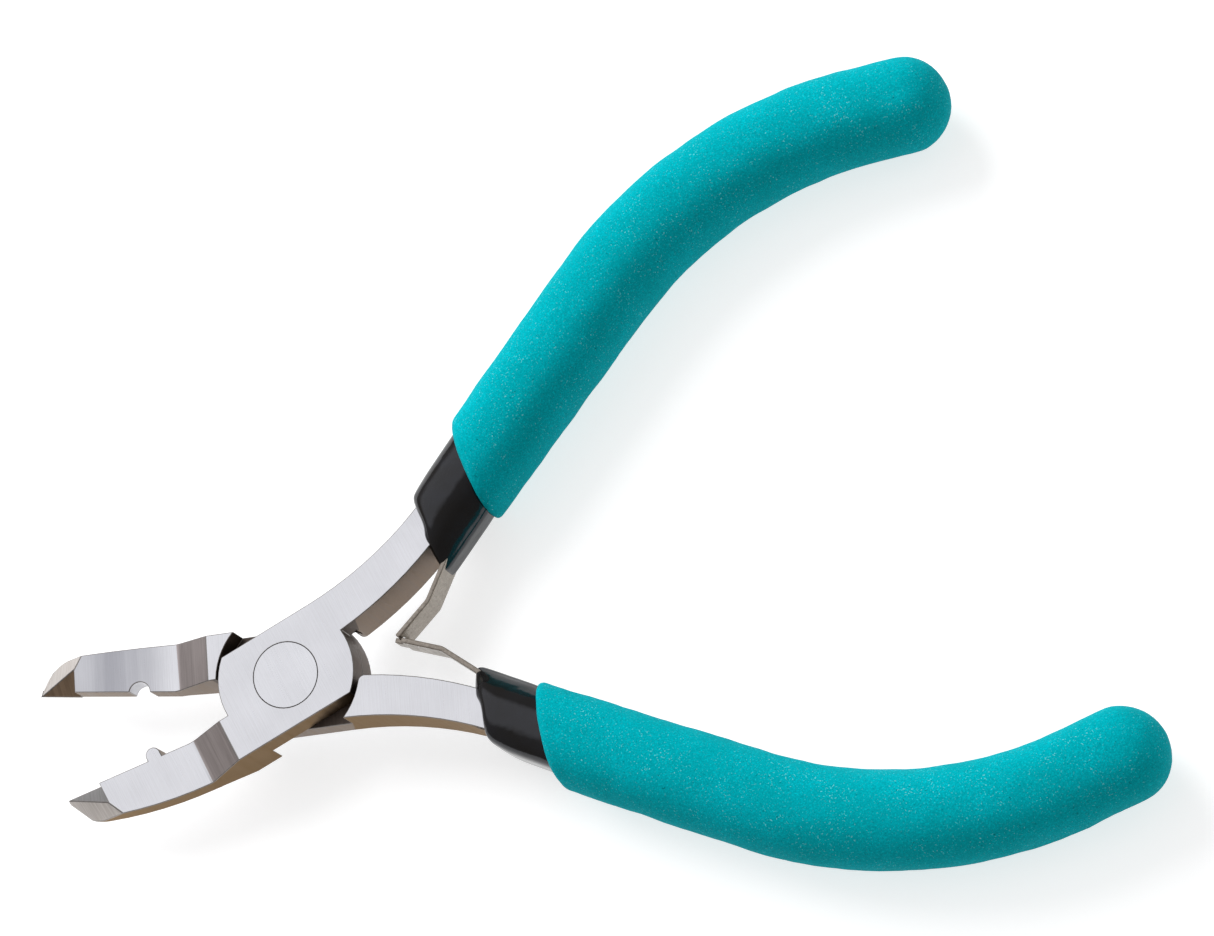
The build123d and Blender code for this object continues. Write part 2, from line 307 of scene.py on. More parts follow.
# %% The steel's tones, and eight finishes for each side
STEEL_LIGHT = (0.88, 0.885, 0.91)
STEEL_DARK = (0.72, 0.72, 0.74)
# Side walls: the brown is a painted reflection of a brown room, not the steel's own colour.
WALL_REFLECTION_LIGHT = (0.235, 0.17, 0.12)
WALL_REFLECTION_DARK = (0.14, 0.10, 0.075)
# Outer walls that look towards -y: a browner, warmer painted reflection of a brown room.
OUTER_REFLECTION_LIGHT = (0.235, 0.175, 0.12)
OUTER_REFLECTION_DARK = (0.15, 0.108, 0.07)
OUTER_REFLECTION_WARMTH = (0.78, 0.64, 0.5)
# Noses: a darker, warmer copy of the ground steel, painted reflection on the tilted faces.
NOSE_REFLECTION_LIGHT = (0.74, 0.70, 0.67)
NOSE_REFLECTION_DARK = (0.50, 0.45, 0.415)
# Broken edges: dark tones are a painted dark reflection that outlines the flats.
BROKEN_REFLECTION_LIGHT = (0.34, 0.32, 0.305)
BROKEN_REFLECTION_DARK = (0.24, 0.22, 0.205)
# Ramps: a darker copy of the steel, painted dark reflection of a dim room.
RAMP_REFLECTION_LIGHT = (0.63, 0.565, 0.55)
RAMP_REFLECTION_DARK = (0.46, 0.405, 0.395)
# Recess: dark tones are painted shade where the other half covers the lap.
RECESS_SHADE_LIGHT = (0.19, 0.155, 0.135)
RECESS_SHADE_DARK = (0.085, 0.07, 0.06)
# Nipper bevels: dark tones, brown on the lower half, are painted reflection of a dim, brown room.
NIPPER_REFLECTION_TONES = {
    "upper": ((0.30, 0.295, 0.295), (0.17, 0.165, 0.165)),
    "lower": ((0.42, 0.30, 0.205), (0.24, 0.165, 0.11)),
}
JAW_SHADE = {"upper": 1.0, "lower": 0.56}

finishes = {}
for side, turn in (("upper", HALF_OPEN), ("lower", -HALF_OPEN)):
    finishes[side] = [
        ground_steel(f"{side}_ground_faces", turn, STEEL_LIGHT, STEEL_DARK, jaw=JAW_SHADE[side]),
        ground_steel(f"{side}_walls_painted_reflection", turn, WALL_REFLECTION_LIGHT, WALL_REFLECTION_DARK, (0.34, 0.5), 0.0004),
        ground_steel(f"{side}_jaw_ramps_painted_reflection", turn, RAMP_REFLECTION_LIGHT, RAMP_REFLECTION_DARK, (0.28, 0.42), 0.0003),
        ground_steel(f"{side}_lap_recess_painted_shade", turn, RECESS_SHADE_LIGHT, RECESS_SHADE_DARK, (0.45, 0.65), 0.0006),
        ground_steel(f"{side}_nipper_bevel_painted_reflection", turn, *NIPPER_REFLECTION_TONES[side], (0.3, 0.45), 0.0002),
        ground_steel(
            f"{side}_outer_wall_painted_reflection", turn, OUTER_REFLECTION_LIGHT, OUTER_REFLECTION_DARK, (0.34, 0.5), 0.0004, edge=OUTER_REFLECTION_WARMTH
        ),
        ground_steel(f"{side}_nose", turn, NOSE_REFLECTION_LIGHT, NOSE_REFLECTION_DARK, (0.28, 0.42), 0.00022),
        ground_steel(f"{side}_broken_edges_painted_reflection", turn, BROKEN_REFLECTION_LIGHT, BROKEN_REFLECTION_DARK, (0.3, 0.45), 0.0003),
    ]
print("steel finishes:", [m.name for m in finishes["upper"]])

# %% [markdown]
# ## Levers
# The two forgings keep their CAD shape, but a real ground edge is never knife sharp, so a
# welded copy has its edges broken by a tenth of a millimetre.  A bevel on the CAD itself would
# do the same and make it heavy.  The triangles are first merged into flat faces, and edges
# too short to bevel are dropped.  Then each face gets the finish that its place calls for:
# faces that look up or down are ground; ramps down to the jaws, the nippers' bevels, the noses
# and the broken edges get darker tones, as painted reflection; sides get a painted brown
# reflection, with the outer ones warmer; and whatever lies inside the lap is painted dark, as
# painted shade.

# %% Where each finish goes
GROUND, WALL, RAMP, RECESS, NIPPER, OUTER, NOSE, BROKEN = range(8)

# How level a face lies: 1 is level, 0 is upright.
LEVEL = 0.97
NEARLY_LEVEL = 0.93
SLOPING = 0.6
TILTED = 0.3
BARELY_TILTED = 0.2

# Places in a lever's own frame, in millimetres.
NEAR_JOINT = 9.3
PLATE_END_X = 5.5
PLATE_END_Y = 6.0
LAP_LOW, LAP_HIGH = -3.3, 0.2
NIPPER_FROM = -25.5
NOSE_FROM = -26
HANDLE_FROM = 3
CRIMP_NOTCH = Vector((-18.95, -0.8))
CRIMP_NOTCH_R = 1.6


def finish_for(face, own):
    """Which finish a lever's face has, from its direction and place in the lever's own frame."""
    centre = own @ face.calc_center_median()
    normal = (own.to_3x3() @ face.normal).normalized()
    level = abs(normal.z)
    near_joint = Vector((centre.x, centre.y, 0)).length < NEAR_JOINT
    beside_plate = abs(centre.x) > PLATE_END_X and abs(centre.y) < PLATE_END_Y
    plate_end = level < TILTED and near_joint and beside_plate
    # Faces in the lap and at the plate's ends are painted dark: painted shade.
    if plate_end or (near_joint and LAP_LOW < centre.z < LAP_HIGH):
        return RECESS
    # Bevels near the tip that tilt towards +y get the darker nipper colour: painted reflection.
    bevelled = BARELY_TILTED < level < NEARLY_LEVEL and normal.y > TILTED
    if centre.x < NIPPER_FROM and bevelled:
        return NIPPER
    if level > LEVEL:
        return GROUND
    # Tilted faces at the tip get the darker, warmer nose colour: painted reflection.
    if centre.x < NOSE_FROM and level > TILTED:
        return NOSE
    # Sloping faces get the darker ramp colour: painted reflection.
    if level > SLOPING:
        return RAMP
    if (Vector(centre[:2]) - CRIMP_NOTCH).length < CRIMP_NOTCH_R:
        return GROUND
    # Outer walls facing -y get the painted warm reflection, the other sides the painted brown one.
    outer = (centre.x > HANDLE_FROM) == (normal.y > 0)
    return OUTER if face.normal.y < -TILTED and outer else WALL


print("finishes per lever:", BROKEN + 1)

# %% Levers with broken edges
SAME_PLANE = radians(1.0)
SHORT_EDGE = 0.04 * MM
EDGE_BREAK = 0.10 * MM
EDGE_ANGLE = radians(24)


def merge_flats(work):
    """Merge triangles into flat faces, and drop edges that are too short to be broken."""
    bmesh.ops.dissolve_limit(work, angle_limit=SAME_PLANE, verts=work.verts, edges=work.edges)
    bmesh.ops.dissolve_degenerate(work, dist=SHORT_EDGE, edges=work.edges)


def lever(node, side, placed, body):
    piece = cad_copy(node, node + "_look")
    reshape(piece.data, merge_flats)
    rounding = piece.modifiers.new("edge_break", "BEVEL")
    rounding.width = EDGE_BREAK
    rounding.segments = 2
    rounding.limit_method = "ANGLE"
    rounding.angle_limit = EDGE_ANGLE
    # The bevel's faces take the dark broken-edge colour: painted reflection.
    rounding.material = BROKEN
    rounding.use_clamp_overlap = False
    even = piece.modifiers.new("even_shading", "WEIGHTED_NORMAL")
    even.keep_sharp = False
    piece.data.shade_smooth()
    for material in finishes[side]:
        piece.data.materials.append(material)
    bake_modifiers(piece)
    own = placed.inverted()

    def paint(work):
        for face in work.faces:
            if face.material_index != BROKEN:
                face.material_index = finish_for(face, own)

    reshape(piece.data, paint)
    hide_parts(node)
    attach(piece, body)
    print(piece.name, "faces:", len(piece.data.polygons))


lever("peg_jaw_lever", "upper", UPPER, "peg_half")
lever("notch_jaw_lever", "lower", LOWER, "notch_half")

# %% [markdown]
# ## Pivot rivet
# The rivet is ground flush with the joint, so only a hair line shows round its head.  Its CAD
# shape is right as it is, so it stays and takes the same ground finish, a touch smoother and
# with wider lines.  The two small rivets under the sleeves get it too, though they are hidden.

# %% Rivet finish
RIVETS = ("pivot_rivet", "upper_spring_rivet", "lower_spring_rivet")
rivet_face = ground_steel("rivet_ground_face", HALF_OPEN, STEEL_LIGHT, STEEL_DARK, (0.24, 0.36), 0.0002)


def paint_node(node, material):
    """Give a CAD node one finish, in every slot it has."""
    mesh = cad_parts[node].data
    if not mesh.materials:
        mesh.materials.append(material)
    for index in range(len(mesh.materials)):
        mesh.materials[index] = material


for node in RIVETS:
    paint_node(node, rivet_face)
print("rivets finished:", len(RIVETS))

# %% [markdown]
# ## Leaf springs
# Each spring is a flat strip that starts under the sleeve, leaves it beside the shank and ends
# against the other spring, where the tongue of one lies in the slot of the other.  The strip
# is drawn as a sheet along its path, then given thickness by Solidify and round edges by
# Bevel, which keeps the outline to a handful of points.  One mesh stands for both the hidden
# foot and the moving blade, and it bends smoothly where the blade leaves its sleeve.

# %% Path of a leaf spring
LEAF_T = 0.6
LEAF_W = 4.6
LEAF_HINGE = Vector((22.6, 2.1))
LEAF_BEND = Vector((18.8, -0.9))
LEAF_PATH = [Vector((33.5, 8.7)), Vector((26.4, 5.45)), LEAF_HINGE, LEAF_BEND, Vector((14.0, -2.57))]
LEAF_BEND_R = 1.6
CORNER_PIECES = 6
CORNER_SHARE = 0.45          # a corner's curve takes up at most this share of the run after it
ROW_STEP = 0.35


def rounded_path(points, radius):
    """Points along a path of straight runs, with each corner rounded by a smooth curve."""
    path = [points[0]]
    for before, corner, after in zip(points, points[1:], points[2:]):
        back = (before - corner).normalized()
        ahead = (after - corner).normalized()
        half = back.angle(ahead) / 2
        reach = min(radius * cos(half) / sin(half), CORNER_SHARE * (after - corner).length)
        start, stop = corner + back * reach, corner + ahead * reach
        for k in range(CORNER_PIECES + 1):
            t = k / CORNER_PIECES
            path.append(start * (1 - t) ** 2 + corner * 2 * t * (1 - t) + stop * t * t)
    path.append(points[-1])
    fine = [path[0]]
    for a, b in zip(path, path[1:]):
        pieces = max(1, int((b - a).length / ROW_STEP))
        fine += [a.lerp(b, k / pieces) for k in range(1, pieces + 1)]
    return fine


leaf_line = rounded_path(LEAF_PATH, LEAF_BEND_R)
leaf_length = sum((b - a).length for a, b in zip(leaf_line, leaf_line[1:]))
print("leaf spring length, mm:", round(leaf_length, 1))

# %% Strip of a leaf spring, with its tongue or its slot
TONGUE_REACH = 1.1
TONGUE_ROWS = 3
SLOT_END = 0.45              # the slotted blade's prongs reach this much further
SLOT_HALF = 1.1
EDGE_STRIP = 0.3


def leaf_sheet(tongue):
    """The strip's middle sheet: rows along the path, columns across the width."""
    path = list(leaf_line)
    heading = (path[-1] - path[-2]).normalized()
    rows = len(path)
    if not tongue:
        path.append(path[-1] + heading * SLOT_END)
        rows += 1
    path += [path[-1] + heading * TONGUE_REACH * k / TONGUE_ROWS for k in range(1, TONGUE_ROWS + 1)]
    half = LEAF_W / 2
    columns = [-half, -half + EDGE_STRIP, -SLOT_HALF, 0.0, SLOT_HALF, half - EDGE_STRIP, half]
    work = bmesh.new()
    grid = [[work.verts.new((p.x, p.y, z)) for z in columns] for p in path]
    for i in range(len(path) - 1):
        for j in range(len(columns) - 1):
            middle = abs(columns[j] + columns[j + 1]) / 2 < SLOT_HALF
            if tongue and i >= rows - 1 and not middle:
                continue
            if not tongue and (i >= rows - 1 or (i >= rows - 2 and middle)):
                continue
            work.faces.new((grid[i][j], grid[i + 1][j], grid[i + 1][j + 1], grid[i][j + 1]))
    loose = [v for v in work.verts if not v.link_faces]
    bmesh.ops.delete(work, geom=loose, context="VERTS")
    return work


print("tongue reach, mm:", TONGUE_REACH)

# %% Finish of the springs
SPRING_DARK = (0.25, 0.215, 0.18)
SPRING_LIGHT = (0.40, 0.36, 0.31)
ROLLING = (2500, 2500, 500)  # noise scale of the marks that rolling leaves, per metre
BLOTCHES = 2600

spring = Nodes("spring_strip")
roll = spring.noise(spring.coordinates(0, ROLLING), 1.0, 4, 0.7)
blotch = spring.noise(spring.coordinates(), BLOTCHES, 4, 0.7)
spring_shader = spring.principled({"Metallic": 1.0})
tone = spring.ramp(blotch, [(0.3, SPRING_DARK), (0.7, SPRING_LIGHT)])
spring.join(tone, spring_shader.inputs["Base Color"])
spring.join(spring.spread(roll, 0.22, 0.42), spring_shader.inputs["Roughness"])
spring.join(spring.bump(roll, 0.00001), spring_shader.inputs["Normal"])
print("spring finish nodes:", len(spring.tree.nodes))

# %% Two strips that bend where they leave their sleeves
STRIP_EDGE = 0.12
STRIP_CORNER = radians(40)
CREASE = radians(35)

for side, placed, body in SIDES:
    work = leaf_sheet(tongue=side == "lower")
    mesh = bpy.data.meshes.new(f"{side}_leaf_strip")
    work.to_mesh(mesh)
    work.free()
    leaf = new_object(f"{side}_leaf_strip", mesh)
    thick = leaf.modifiers.new("thickness", "SOLIDIFY")
    thick.thickness = LEAF_T
    thick.offset = 0
    soft = leaf.modifiers.new("edges", "BEVEL")
    soft.width = STRIP_EDGE
    soft.segments = 2
    soft.limit_method = "ANGLE"
    soft.angle_limit = STRIP_CORNER
    bake_modifiers(leaf)
    leaf.data.transform(placed)
    reshape(leaf.data, face_outwards)
    leaf.data.materials.append(spring.material)
    leaf.data.shade_smooth()
    leaf.data.set_sharp_from_angle(angle=CREASE)
    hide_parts(f"{side}_leaf_spring", f"{side}_spring_foot")
    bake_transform(leaf)
    print(leaf.name, "faces:", len(leaf.data.polygons))

# %% [markdown]
# ## Dipped sleeves
# The black sleeves are made by dipping the tangs, springs' feet and all, in liquid vinyl.
# The skin softens every corner, is crowned over the steel, bulges over the spring, and ends
# in a rounded lip.  Two plain blocks, one over the steel and one over the spring, are melted
# together by a voxel remesh and smoothing, which does what the liquid does, where rounding each
# corner by hand would leave seams.  The lower handle was dipped a little less deep, so its
# lip starts later.

# %% Sleeve finish
VINYL_DARK = (0.0065, 0.0055, 0.0045)
VINYL_LIGHT = (0.009, 0.009, 0.0105)
# A bluish tint on the vinyl's reflections: painted colour of a bluer glow.
VINYL_REFLECTION_TINT = (0.90, 0.93, 1.0, 1)
RIPPLE_SCALE = 350
VINYL_GRAIN = 9000

vinyl = Nodes("dipped_vinyl")
ripple = vinyl.noise(vinyl.coordinates(), RIPPLE_SCALE, 2, 0.5)
grain = vinyl.noise(vinyl.coordinates(), VINYL_GRAIN, 3, 0.6)
vinyl_shader = vinyl.principled({"IOR": 1.5, "Specular Tint": VINYL_REFLECTION_TINT})
tone = vinyl.ramp(ripple, [(0.35, VINYL_DARK), (0.7, VINYL_LIGHT)])
vinyl.join(tone, vinyl_shader.inputs["Base Color"])
vinyl.join(vinyl.spread(grain, 0.08, 0.16), vinyl_shader.inputs["Roughness"])
vinyl.join(vinyl.bump(ripple, 0.00016, 0.6), vinyl_shader.inputs["Normal"])
print("vinyl finish nodes:", len(vinyl.tree.nodes))

# %% Blocks that a sleeve is melted from
OVER_STEEL = [
    (22.9, 3.3), (29.4, 6.4), (38.0, 10.6), (36.4, 17.7), (30.8, 15.0), (26.0, 12.6), (22.9, 10.8),
]
OVER_SPRING = [(21.9, 1.0), (29.4, 4.6), (34.0, 7.2), (37.5, 9.6), (36.4, 13.5), (29.4, 10.0), (22.0, 6.0)]
STEEL_MIDDLE = (Vector((23.2, 7.0)), Vector((36.0, 13.1)))
STEEL_HALF = 4.35            # half the height of the block over the steel
SPRING_HALF = 3.5
DIP_LATE = {"upper": 0.0, "lower": 0.65}
LIP_RISE = 0.45              # how much the lip's inner corner rises as it moves along
CROWN = 1.0
CROWN_SINK = 0.4             # how far the skin sinks where the crown has run out
CROWN_REACH = 3.4            # from the middle line to where the crown runs out
CROWN_FROM = 1.0             # height above the middle plane where the crown begins
CROWN_DEPTH = 2.0
VOXEL = 0.18
MELT_ROUNDS = 260


def block(work, outline, half):
    """A closed prism on an outline, as high above the middle plane as below it."""
    rings = [[work.verts.new((x, y, z)) for x, y in outline] for z in (-half, half)]
    work.faces.new(rings[0][::-1])
    work.faces.new(rings[1])
    for k in range(len(outline)):
        after = (k + 1) % len(outline)
        work.faces.new((rings[0][k], rings[0][after], rings[1][after], rings[1][k]))


def crown(mesh):
    """Raise the skin over the middle of the steel, and less towards its edges."""
    start, stop = STEEL_MIDDLE
    run = (stop - start).normalized()
    for vertex in mesh.vertices:
        off = abs(run.cross(Vector(vertex.co[:2]) - start))
        rise = CROWN * (1 - (off / CROWN_REACH) ** 2)
        height = abs(vertex.co.z)
        if height > CROWN_FROM:
            share = min(1.0, (height - CROWN_FROM) / CROWN_DEPTH)
            away = 1 if vertex.co.z > 0 else -1
            vertex.co.z += (rise - CROWN_SINK) * share * away


def late_lip(outline, late):
    """The outline with its two points at the lip moved along the tang."""
    first, *rest, last = outline
    return [(first[0] + late, first[1] + late * LIP_RISE), *rest, (last[0] + late, last[1])]


print("sleeve lip later by, mm:", DIP_LATE)

# %% Sleeves melted from two blocks
for side, placed, body in SIDES:
    work = bmesh.new()
    for outline, half in ((OVER_STEEL, STEEL_HALF), (OVER_SPRING, SPRING_HALF)):
        block(work, late_lip(outline, DIP_LATE[side]), half)
    face_outwards(work)
    mesh = bpy.data.meshes.new(f"{side}_dipped_sleeve")
    work.to_mesh(mesh)
    work.free()
    sleeve = new_object(f"{side}_dipped_sleeve", mesh)
    even = sleeve.modifiers.new("even", "REMESH")
    even.mode = "VOXEL"
    even.voxel_size = VOXEL
    melt = sleeve.modifiers.new("melt", "SMOOTH")
    melt.factor = 0.5
    melt.iterations = MELT_ROUNDS
    bake_modifiers(sleeve)
    crown(sleeve.data)
    sleeve.data.transform(placed)
    sleeve.data.materials.append(vinyl.material)
    sleeve.data.shade_smooth()
    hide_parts(f"{side}_inner_sleeve")
    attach(sleeve, body)
    print(sleeve.name, "faces:", len(sleeve.data.polygons))

# %% [markdown]
# ## Foam grips
# A foam grip is a stretched tube: an oval section that follows the handle's long bend, swells a
# little in its middle, and has a soft rim where it starts and a round, closed end.  That is a
# rule along a path, so Geometry Nodes make it: the path carries the grip's radius at each
# point, Curve to Mesh sweeps a slightly squared oval along it, and the rings near the mouth
# are slanted so that the cut is square to the tool and not to the handle.

# %% The handle's path
AXIS_START = Vector((22.7, 6.9))
AXIS_BEND = Vector((72.2, 29.6))
AXIS_END = Vector((96.3, 21.6))
AXIS_BEND_R = 50.0
FOAM_W = 11.0
FOAM_T = 12.2
FOAM_MOUTH_X = 30.5


def handle_path():
    """The handle's centre line: a function from distance to place, and its whole length."""
    run_in = (AXIS_BEND - AXIS_START).normalized()
    run_out = (AXIS_END - AXIS_BEND).normalized()
    half = (pi - run_in.angle(run_out)) / 2
    reach = AXIS_BEND_R * cos(half) / sin(half)
    start = AXIS_START + run_in * ((FOAM_MOUTH_X - AXIS_START.x) / run_in.x)
    bend_in = AXIS_BEND - run_in * reach
    centre = bend_in + Vector((run_in.y, -run_in.x)) * AXIS_BEND_R
    turn = run_in.angle(run_out)
    tip = AXIS_END + run_out * FOAM_W / 2
    lengths = ((bend_in - start).length, AXIS_BEND_R * turn, (tip - AXIS_BEND).length - reach)
    whole = sum(lengths)

    def at(s):
        if s < lengths[0]:
            return start + run_in * s
        if s < lengths[0] + lengths[1]:
            angle = (s - lengths[0]) / AXIS_BEND_R
            arm = bend_in - centre
            spun_x = arm.x * cos(angle) + arm.y * sin(angle)
            spun_y = arm.y * cos(angle) - arm.x * sin(angle)
            return centre + Vector((spun_x, spun_y))
        return AXIS_BEND + run_out * (reach + s - lengths[0] - lengths[1])

    return at, whole


at, whole = handle_path()
print("foam length, mm:", round(whole, 1))

# %% Rings from the mouth to the round end
RIM = 1.1
FULLER = 0.04                # share by which the grip swells between its mouth and its end
MOUTH_FACE = (0.55, 0.7)     # sizes of the two rings on the flat face of the mouth
RIM_STEPS = 6
BODY_STEPS = 90
CAP_STEPS = 14
SMALLEST = 0.02


def foam_stations(whole):
    """(distance along, share of full size) from the mouth's flat face to the round end."""
    stations = [(0.0, share) for share in MOUTH_FACE]
    for k in range(RIM_STEPS + 1):
        angle = k / RIM_STEPS * pi / 2
        stations.append((RIM * (1 - cos(angle)), 1 - 2 * RIM / FOAM_W * (1 - sin(angle))))
    cap = FOAM_W / 2
    body_end = whole - cap
    for k in range(1, BODY_STEPS + 1):
        share = k / BODY_STEPS
        stations.append((RIM + (body_end - RIM) * share, 1.0 + FULLER * sin(pi * share)))
    for k in range(1, CAP_STEPS + 1):
        angle = k / CAP_STEPS * pi / 2
        stations.append((body_end + cap * sin(angle), max(cos(angle), SMALLEST)))
    return stations


path_points = [(*at(s), 0.0, share) for s, share in foam_stations(whole)]
print("rings:", len(path_points))

# %% Shorthand for Geometry Nodes


class Tree:
    """Shorthand for adding and joining the nodes of one geometry tree."""

    def __init__(self, name, numbers):
        self.group = bpy.data.node_groups.new(name, "GeometryNodeTree")
        self.socket("Geometry", "Geometry")
        for label, value in numbers.items():
            self.socket(label, "Float").default_value = value
        self.socket("Material", "Material")
        self.socket("Geometry", "Geometry", "OUTPUT")
        self.given = self.add("NodeGroupInput").outputs

    def socket(self, label, kind, way="INPUT"):
        return self.group.interface.new_socket(label, in_out=way, socket_type="NodeSocket" + kind)

    def add(self, kind, **values):
        node = self.group.nodes.new(kind)
        for key, value in values.items():
            setattr(node, key, value)
        return node

    def join(self, source, target):
        self.group.links.new(source, target)

    def read(self, kind):
        """What an input node such as Position gives."""
        return self.add("GeometryNodeInput" + kind).outputs[0]

    def math(self, operation, a, b=None):
        node = self.add("ShaderNodeMath", operation=operation)
        for socket, value in ((node.inputs[0], a), (node.inputs[1], b)):
            if value is None:
                continue
            if isinstance(value, (int, float)):
                socket.default_value = value
            else:
                self.join(value, socket)
        return node.outputs[0]

    def vector(self, operation, a, b=None, scale=None):
        node = self.add("ShaderNodeVectorMath", operation=operation)
        self.join(a, node.inputs[0])
        if b is not None:
            self.join(b, node.inputs[1])
        if scale is not None:
            self.join(scale, node.inputs["Scale"])
        return node.outputs["Value"] if operation == "DOT_PRODUCT" else node.outputs["Vector"]


print("geometry shorthand:", [name for name in vars(Tree) if not name.startswith("_")])

# %% The oval section, and what each ring remembers of the path
SECTION_POINTS = 64


def oval_section(t):
    """A circle pushed towards a square by a power of each coordinate."""
    ring = t.add("GeometryNodeCurvePrimitiveCircle")
    ring.inputs["Resolution"].default_value = SECTION_POINTS
    ring.inputs["Radius"].default_value = 1.0
    parts = t.add("ShaderNodeSeparateXYZ")
    t.join(t.read("Position"), parts.inputs[0])
    shaped = t.add("ShaderNodeCombineXYZ")
    for axis, size in (("X", "Width"), ("Y", "Height")):
        bent = t.math("POWER", t.math("ABSOLUTE", parts.outputs[axis]), t.given["Squareness"])
        signed = t.math("MULTIPLY", t.math("SIGN", parts.outputs[axis]), bent)
        half = t.math("MULTIPLY", t.given[size], 0.5)
        t.join(t.math("MULTIPLY", signed, half), shaped.inputs[axis])
    section = t.add("GeometryNodeSetPosition")
    t.join(ring.outputs["Curve"], section.inputs["Geometry"])
    t.join(shaped.outputs[0], section.inputs["Position"])
    return section.outputs["Geometry"]


def remembered_path(t):
    """The path, with each point's place, direction and distance kept for its ring."""
    normals = t.add("GeometryNodeSetCurveNormal", mode="Z_UP")
    t.join(t.given["Geometry"], normals.inputs["Curve"])
    kept = t.add("GeometryNodeCaptureAttribute")
    kept.capture_items.new("VECTOR", "Centre")
    kept.capture_items.new("VECTOR", "Along")
    kept.capture_items.new("FLOAT", "Distance")
    t.join(normals.outputs["Curve"], kept.inputs["Geometry"])
    t.join(t.read("Position"), kept.inputs["Centre"])
    t.join(t.read("Tangent"), kept.inputs["Along"])
    parameter = t.add("GeometryNodeSplineParameter")
    t.join(parameter.outputs["Length"], kept.inputs["Distance"])
    return kept


def swept(t, path, section):
    """The section swept along the path, as wide at each point as the path's radius says."""
    sweep = t.add("GeometryNodeCurveToMesh")
    t.join(path, sweep.inputs["Curve"])
    t.join(section, sweep.inputs["Profile Curve"])
    sweep.inputs["Fill Caps"].default_value = True
    t.join(t.read("Radius"), sweep.inputs["Scale"])
    return sweep.outputs["Mesh"]


print("points in a ring:", SECTION_POINTS)

# %% The slanted mouth and the lumps
LUMP_SCALE = 0.22            # noise scale, per millimetre
LUMP_MIDDLE = 0.62           # noise above this swells the foam, and below it hollows it
LUMP_GAIN = 4.0


def slanted(t, mesh, kept):
    """Near the mouth a point slides along the handle by its distance to one side."""
    arm = t.vector("SUBTRACT", t.read("Position"), kept.outputs["Centre"])
    up = t.add("ShaderNodeCombineXYZ")
    up.inputs["Z"].default_value = 1.0
    sideways = t.vector("CROSS_PRODUCT", up.outputs[0], kept.outputs["Along"])
    side = t.vector("DOT_PRODUCT", arm, sideways)
    fade = t.add("ShaderNodeMapRange", interpolation_type="SMOOTHSTEP")
    t.join(kept.outputs["Distance"], fade.inputs["Value"])
    t.join(t.given["Slant reach"], fade.inputs["From Max"])
    fade.inputs["To Min"].default_value = 1.0
    fade.inputs["To Max"].default_value = 0.0
    slope = t.math("MULTIPLY", side, t.given["Mouth slant"])
    amount = t.math("MULTIPLY", slope, fade.outputs["Result"])
    moved = t.add("GeometryNodeSetPosition")
    t.join(mesh, moved.inputs["Geometry"])
    t.join(t.vector("SCALE", kept.outputs["Along"], scale=amount), moved.inputs["Offset"])
    return moved.outputs["Geometry"]


def lumpy(t, mesh):
    """Foam is never perfectly even, so soft noise swells and hollows it a little."""
    noise = t.add("ShaderNodeTexNoise")
    noise.inputs["Scale"].default_value = LUMP_SCALE
    noise.inputs["Detail"].default_value = 2.0
    t.join(t.read("Position"), noise.inputs["Vector"])
    above = t.math("SUBTRACT", noise.outputs["Fac"], LUMP_MIDDLE)
    swell = t.math("MULTIPLY", t.math("MULTIPLY", above, t.given["Lumps"]), LUMP_GAIN)
    moved = t.add("GeometryNodeSetPosition")
    t.join(mesh, moved.inputs["Geometry"])
    t.join(t.vector("SCALE", t.read("Normal"), scale=swell), moved.inputs["Offset"])
    return moved.outputs["Geometry"]


print("lumps, noise per mm:", LUMP_SCALE)

# %% The whole tree: an oval swept along the handle
FOAM_NUMBERS = {
    "Width": FOAM_W,
    "Height": FOAM_T,
    "Squareness": 0.88,
    "Mouth slant": 0.60,
    "Slant reach": 9.0,
    "Lumps": 0.10,
}


def foam_tree():
    t = Tree("foam_sweep", FOAM_NUMBERS)
    section = oval_section(t)
    kept = remembered_path(t)
    mesh = swept(t, kept.outputs["Geometry"], section)
    mesh = lumpy(t, slanted(t, mesh, kept))
    smooth = t.add("GeometryNodeSetShadeSmooth")
    t.join(mesh, smooth.inputs["Geometry"])
    real = t.add("GeometryNodeRealizeInstances")
    t.join(smooth.outputs["Geometry"], real.inputs["Geometry"])
    skin = t.add("GeometryNodeSetMaterial")
    t.join(real.outputs["Geometry"], skin.inputs["Geometry"])
    t.join(t.given["Material"], skin.inputs["Material"])
    result = t.add("NodeGroupOutput")
    t.join(skin.outputs["Geometry"], result.inputs["Geometry"])
    return t.group


sweep_tree = foam_tree()
print("foam tree nodes:", len(sweep_tree.nodes))

# %% [markdown]
# ## Foam finish
# The foam is a soft, matt teal with fine closed cells.  Tiny pale flecks of broken cells are
# scattered all over it, thicker in some patches, with a few dark pores between them.  It has
# almost no gloss.  Each of these is a noise of its own size, laid over the one before, which
# gives a grain that never repeats.

# %% Teal foam
TEAL = (0.0, 0.43, 0.505)
TEAL_DEEP = (0.0, 0.37, 0.42)
FLECK = (0.22, 0.66, 0.68)
PORE = (0.0, 0.12, 0.13)
GRAIN_DARK = (0.0, 0.28, 0.32)
GRAIN_LIGHT = (0.0, 0.62, 0.65)

# Noise scales, per metre: the larger, the finer.
DRIFT_SCALE = 160
PATCH_SCALE = 300
PORE_SCALE = 3300
FLECK_SCALE = 4200
CELL_SCALE = 5200

